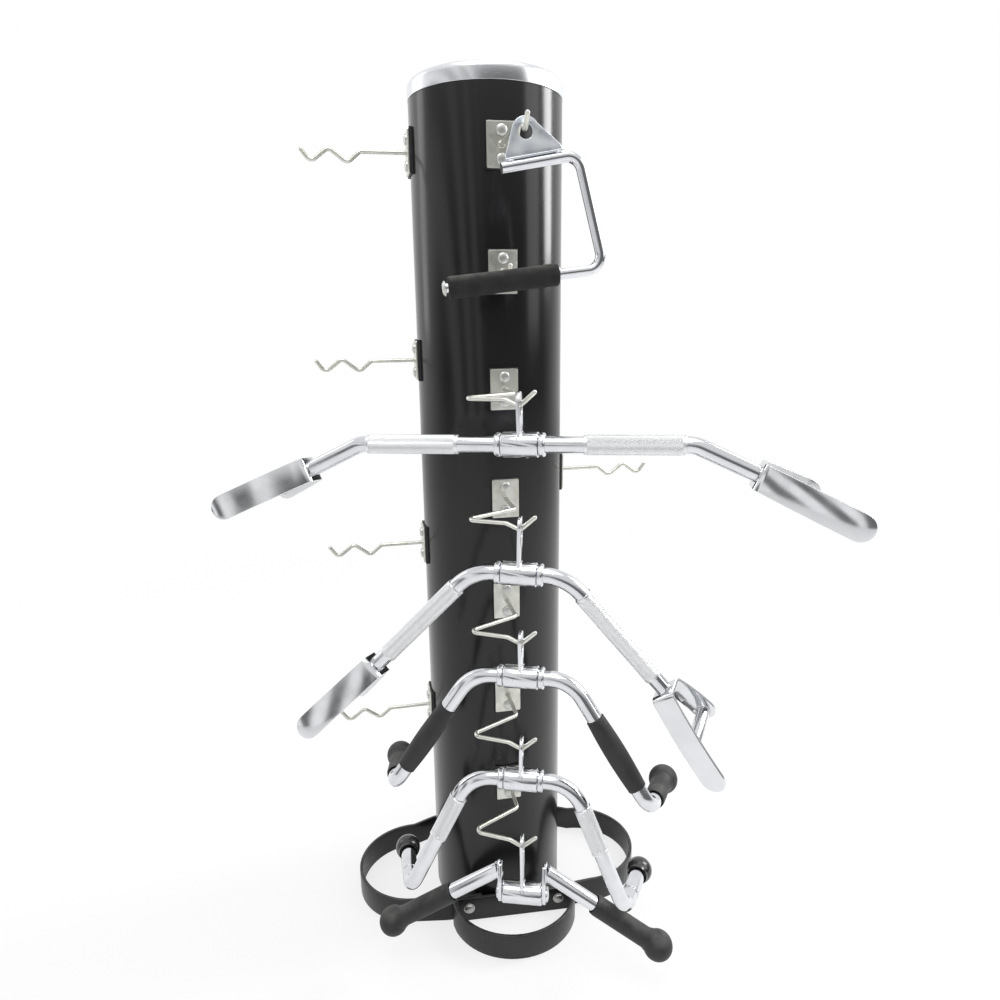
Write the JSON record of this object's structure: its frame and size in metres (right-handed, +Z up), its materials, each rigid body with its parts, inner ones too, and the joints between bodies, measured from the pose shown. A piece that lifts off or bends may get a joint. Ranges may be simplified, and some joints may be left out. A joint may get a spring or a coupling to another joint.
{
  "type": "cable attachment rack",
  "caption": "Round column on flat-bar hoops with wire hooks that carry cable-machine bars, a V handle and a single handle.",
  "frame": {"origin": "on the floor, on the column's axis", "axes": "+Z up along the column, -Y towards the front, where the bars hang"},
  "size_m": [0.8488, 0.751, 1.4923],
  "materials": {
    "black_paint": "gloss",
    "chrome": "polished",
    "zinc": "satin",
    "rubber": "matt",
    "black_plastic": "satin"
  },
  "bodies": {
    "rack": {"column_tube": "black_paint", "foot_hoop_back": "black_paint", "foot_hoop_front": "black_paint", "foot_hoop_left": "black_paint", "foot_hoop_right": "black_paint", "hook_front_1": "zinc", "hook_front_2": "zinc", "hook_front_3": "zinc", "hook_front_4": "zinc", "hook_front_5": "zinc", "hook_front_6": "zinc", "hook_front_7": "zinc", "hook_left_1": "zinc", "hook_left_2": "zinc", "hook_left_3": "zinc", "hook_left_4": "zinc", "hook_right_1": "zinc", "pad_front_1": "black_plastic", "pad_front_2": "black_plastic", "pad_front_3": "black_plastic", "pad_front_4": "black_plastic", "pad_front_5": "black_plastic", "pad_front_6": "black_plastic", "pad_front_7": "black_plastic", "pad_left_1": "black_plastic", "pad_left_2": "black_plastic", "pad_left_3": "black_plastic", "pad_left_4": "black_plastic", "pad_right_1": "black_plastic", "top_cap": "black_paint", "top_ring": "chrome"},
    "single_handle": {"single_handle_frame": "chrome"},
    "handle_grip": {"single_handle_grip": "rubber"},
    "upper_bar_hanger": {"upper_bar_hanger": "chrome"},
    "upper_bar": {"upper_bar_bar": "chrome"},
    "upper_bar_stirrup_left": {"upper_bar_stirrup_left": "chrome"},
    "upper_bar_stirrup_right": {"upper_bar_stirrup_right": "chrome"},
    "wide_bar_hanger": {"wide_bar_hanger": "chrome"},
    "wide_bar": {"wide_bar_bar": "chrome"},
    "wide_bar_stirrup_left": {"wide_bar_stirrup_left": "chrome"},
    "wide_bar_stirrup_right": {"wide_bar_stirrup_right": "chrome"},
    "grip_bar_hanger": {"grip_bar_hanger": "chrome"},
    "grip_bar": {"grip_bar_bar": "chrome", "grip_bar_grip_left": "rubber", "grip_bar_grip_right": "rubber", "grip_bar_return_left": "rubber", "grip_bar_return_right": "rubber"},
    "small_bar_hanger": {"small_bar_hanger": "chrome"},
    "small_bar": {"small_bar_ball_left": "black_plastic", "small_bar_ball_right": "black_plastic", "small_bar_bar": "chrome"},
    "v_handle_hanger": {"v_handle_hanger": "chrome"},
    "v_handle": {"v_handle_grip_left": "rubber", "v_handle_grip_right": "rubber", "v_handle_yoke": "chrome"}
  },
  "joints": [
    {"name": "handle_swing", "type": "hinge", "parent": "rack", "child": "single_handle", "pos_m": [0, -0.28212, 1.36219], "axis": [0, 1, 0], "range_deg": [-60, 60]},
    {"name": "handle_grip_spin", "type": "hinge", "parent": "single_handle", "child": "handle_grip", "pos_m": [-0.10535, -0.28212, 1.16499], "axis": [0.9936, 0, 0.1132], "continuous": true},
    {"name": "upper_bar_swing", "type": "hinge", "parent": "rack", "child": "upper_bar_hanger", "pos_m": [-0.01122, -0.28629, 1.00765], "axis": [0.921, -0.3891, 0.0175], "range_deg": [-50, 50]},
    {"name": "upper_bar_turn", "type": "hinge", "parent": "upper_bar_hanger", "child": "upper_bar", "pos_m": [-0.01032, -0.28667, 0.95166], "axis": [0.921, -0.3891, 0.0175], "range_deg": [-70, 70]},
    {"name": "upper_bar_stirrup_left_swivel", "type": "hinge", "parent": "upper_bar", "child": "upper_bar_stirrup_left", "pos_m": [-0.30518, -0.16211, 0.90806], "axis": [-0.8266, 0.3492, -0.4413], "continuous": true},
    {"name": "upper_bar_stirrup_right_swivel", "type": "hinge", "parent": "upper_bar", "child": "upper_bar_stirrup_right", "pos_m": [0.28576, -0.41174, 0.91926], "axis": [0.8403, -0.355, -0.4097], "continuous": true},
    {"name": "wide_bar_swing", "type": "hinge", "parent": "rack", "child": "wide_bar_hanger", "pos_m": [-0.01122, -0.28629, 0.82735], "axis": [0.9381, -0.3452, -0.0279], "range_deg": [-35, 30]},
    {"name": "wide_bar_turn", "type": "hinge", "parent": "wide_bar_hanger", "child": "wide_bar", "pos_m": [-0.01303, -0.28562, 0.75837], "axis": [0.9381, -0.3452, -0.0279], "range_deg": [-50, 32]},
    {"name": "wide_bar_stirrup_left_swivel", "type": "hinge", "parent": "wide_bar", "child": "wide_bar_stirrup_left", "pos_m": [-0.22565, -0.20739, 0.59814], "axis": [-0.6519, 0.2398, -0.7194], "continuous": true},
    {"name": "wide_bar_stirrup_right_swivel", "type": "hinge", "parent": "wide_bar", "child": "wide_bar_stirrup_right", "pos_m": [0.19087, -0.36064, 0.58574], "axis": [0.6131, -0.2256, -0.7571], "continuous": true},
    {"name": "grip_bar_swing", "type": "hinge", "parent": "rack", "child": "grip_bar_hanger", "pos_m": [-0.01122, -0.28629, 0.64705], "axis": [0.9323, -0.3616, 0], "range_deg": [-30, 18]},
    {"name": "grip_bar_turn", "type": "hinge", "parent": "grip_bar_hanger", "child": "grip_bar", "pos_m": [-0.01122, -0.28629, 0.59105], "axis": [0.9323, -0.3616, 0], "range_deg": [-35, 21]},
    {"name": "small_bar_swing", "type": "hinge", "parent": "rack", "child": "small_bar_hanger", "pos_m": [-0.01122, -0.28629, 0.46675], "axis": [0.9512, -0.3072, -0.0297], "range_deg": [-7, 11]},
    {"name": "small_bar_turn", "type": "hinge", "parent": "small_bar_hanger", "child": "small_bar", "pos_m": [-0.0128, -0.28578, 0.41077], "axis": [0.9512, -0.3072, -0.0297], "range_deg": [-8, 16]},
    {"name": "v_handle_swing", "type": "hinge", "parent": "rack", "child": "v_handle_hanger", "pos_m": [-0.01122, -0.28629, 0.28645], "axis": [0.9483, -0.3173, 0], "range_deg": [-18, 13]},
    {"name": "v_handle_turn", "type": "hinge", "parent": "v_handle_hanger", "child": "v_handle", "pos_m": [-0.01122, -0.28629, 0.19545], "axis": [0.9483, -0.3173, 0], "range_deg": [-30, 26]}
  ]
}
